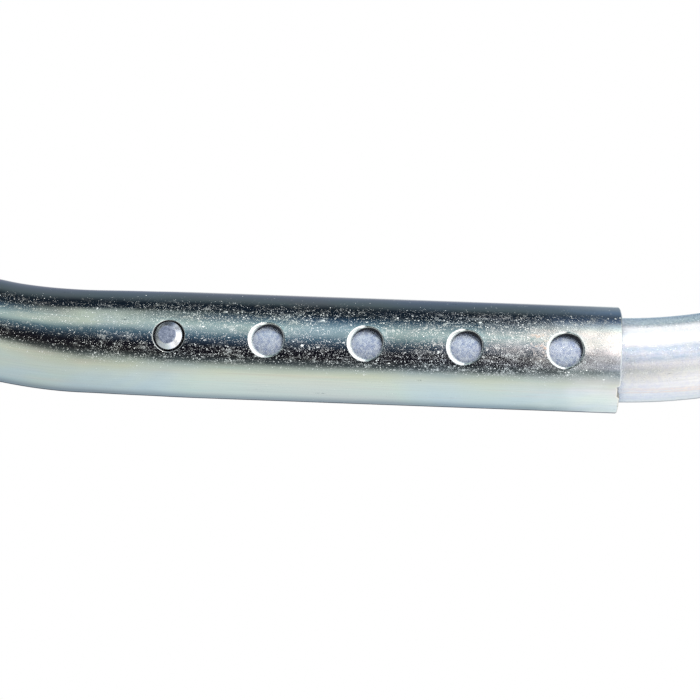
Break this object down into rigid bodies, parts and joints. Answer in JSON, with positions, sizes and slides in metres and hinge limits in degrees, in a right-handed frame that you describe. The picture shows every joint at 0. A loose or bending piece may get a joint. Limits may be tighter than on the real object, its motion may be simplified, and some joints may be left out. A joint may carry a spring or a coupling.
{
  "type": "telescopic bar",
  "caption": "Telescopic C-shaped bar of two zinc-plated steel tubes, locked at the chosen length by a spring-loaded button in a row of holes, with a rubber tip on each end.",
  "frame": {"origin": "bottom centre of the whole bar's box, with the button in the innermost hole", "axes": "+X along the straight section from the outer tube towards the inner tube, +Z the way both arms bend, and the button and the row of holes face -Y"},
  "size_m": [0.4906, 0.0324, 0.2387],
  "materials": {
    "zinc_outer": "bright zinc plating with clear passivation, fine lengthwise draw lines, white speckle stains and scuffs",
    "zinc_inner": "bright zinc plating, satin, with faint pink and mint passivation tints",
    "button_zinc": "zinc-plated turned steel, dull flat top and bright chamfer",
    "spring_steel": "blued spring steel, smooth",
    "rubber": "moulded black rubber, matt"
  },
  "bodies": {
    "outer": {"outer_tube": "zinc_outer", "outer_end_cap": "rubber"},
    "inner": {"inner_tube": "zinc_inner", "inner_end_cap": "rubber", "spring_clip": "spring_steel"},
    "button": {"lock_button": "button_zinc"}
  },
  "joints": [
    {"name": "telescope", "type": "slide", "parent": "outer", "child": "inner", "axis": [1, 0, 0], "range_m": [0, 0.1], "deforming": ["spring_clip", "lock_button"]},
    {"name": "button_press", "type": "slide", "parent": "inner", "child": "button", "axis": [0.1219, 0.9925, 0], "range_m": [0, 0.0046], "stiffness_N_per_m": 1200, "springref_m": -0.002, "deforming": ["spring_clip"]}
  ]
}
